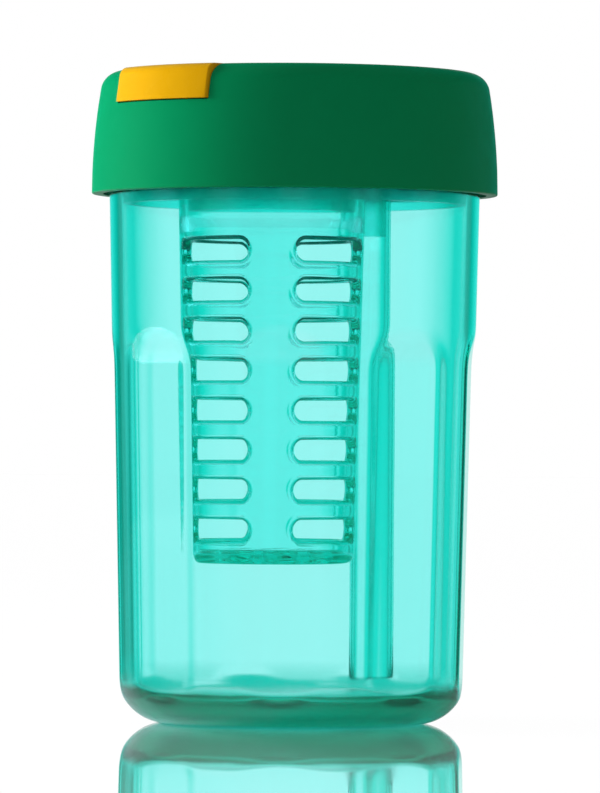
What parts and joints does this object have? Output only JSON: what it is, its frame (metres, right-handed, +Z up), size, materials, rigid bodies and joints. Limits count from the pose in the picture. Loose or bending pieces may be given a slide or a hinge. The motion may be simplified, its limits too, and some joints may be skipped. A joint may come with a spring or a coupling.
{
  "type": "fruit infuser water bottle",
  "caption": "Tinted clear tumbler with arched panels, a screw lid, a flip cover over a folding spout, a drinking straw and a slotted infuser basket hanging from the lid.",
  "frame": {"origin": "centre of the foot, on the surface that the bottle stands on", "axes": "+Z up along the bottle's axis, -Y towards the orange tab at the front of the lid, +X to the right seen from the tab"},
  "size_m": [0.1, 0.1, 0.16],
  "materials": {
    "tinted_clear": "clear moulded plastic with a sea-green tint, polished",
    "basket_clear": "clear moulded plastic with a sea-green tint, polished",
    "straw_clear": "clear extruded plastic with a sea-green tint",
    "lid_green": "satin moulded plastic",
    "liner_green": "satin moulded plastic",
    "cover_orange": "semi-gloss moulded plastic",
    "pin_steel": "drawn stainless steel",
    "silicone": "soft translucent silicone"
  },
  "bodies": {
    "bottle": {"bottle_body": "tinted_clear"},
    "seal_ring": {"lid_gasket": "silicone"},
    "lid": {"lid_shell": "lid_green", "lid_insert": "liner_green", "cover_hinge_pin": "pin_steel", "straw": "straw_clear", "basket_seal": "silicone", "nozzle_seal": "silicone", "vent_valve": "silicone"},
    "cover": {"flip_cover": "cover_orange"},
    "spout": {"drink_nozzle": "liner_green", "nozzle_mouthpiece": "silicone"},
    "basket": {"infuser_basket": "basket_clear"}
  },
  "joints": [
    {"name": "lid_rise", "type": "slide", "parent": "bottle", "child": "seal_ring", "axis": [0, 0, 1], "range_m": [0, 0.0075]},
    {"name": "lid_turn", "type": "hinge", "parent": "seal_ring", "child": "lid", "pos_m": [0, 0, 0.136], "axis": [0, 0, 1], "range_deg": [0, 540]},
    {"name": "cover_flip", "type": "hinge", "parent": "lid", "child": "cover", "pos_m": [0, 0.0352, 0.1574], "axis": [-1, 0, 0], "range_deg": [0, 105]},
    {"name": "spout_flip", "type": "hinge", "parent": "lid", "child": "spout", "pos_m": [0, 0.028, 0.1515], "axis": [-1, 0, 0], "range_deg": [0, 80]},
    {"name": "basket_pull", "type": "slide", "parent": "lid", "child": "basket", "axis": [0, 0, -1], "range_m": [0, 0.025]}
  ],
  "couplings": [
    {"joint": "lid_rise", "follows": "lid_turn", "m_per_rad": 0.00079577},
    {"joint": "spout_flip", "follows": "cover_flip", "ratio": 0.7619}
  ]
}
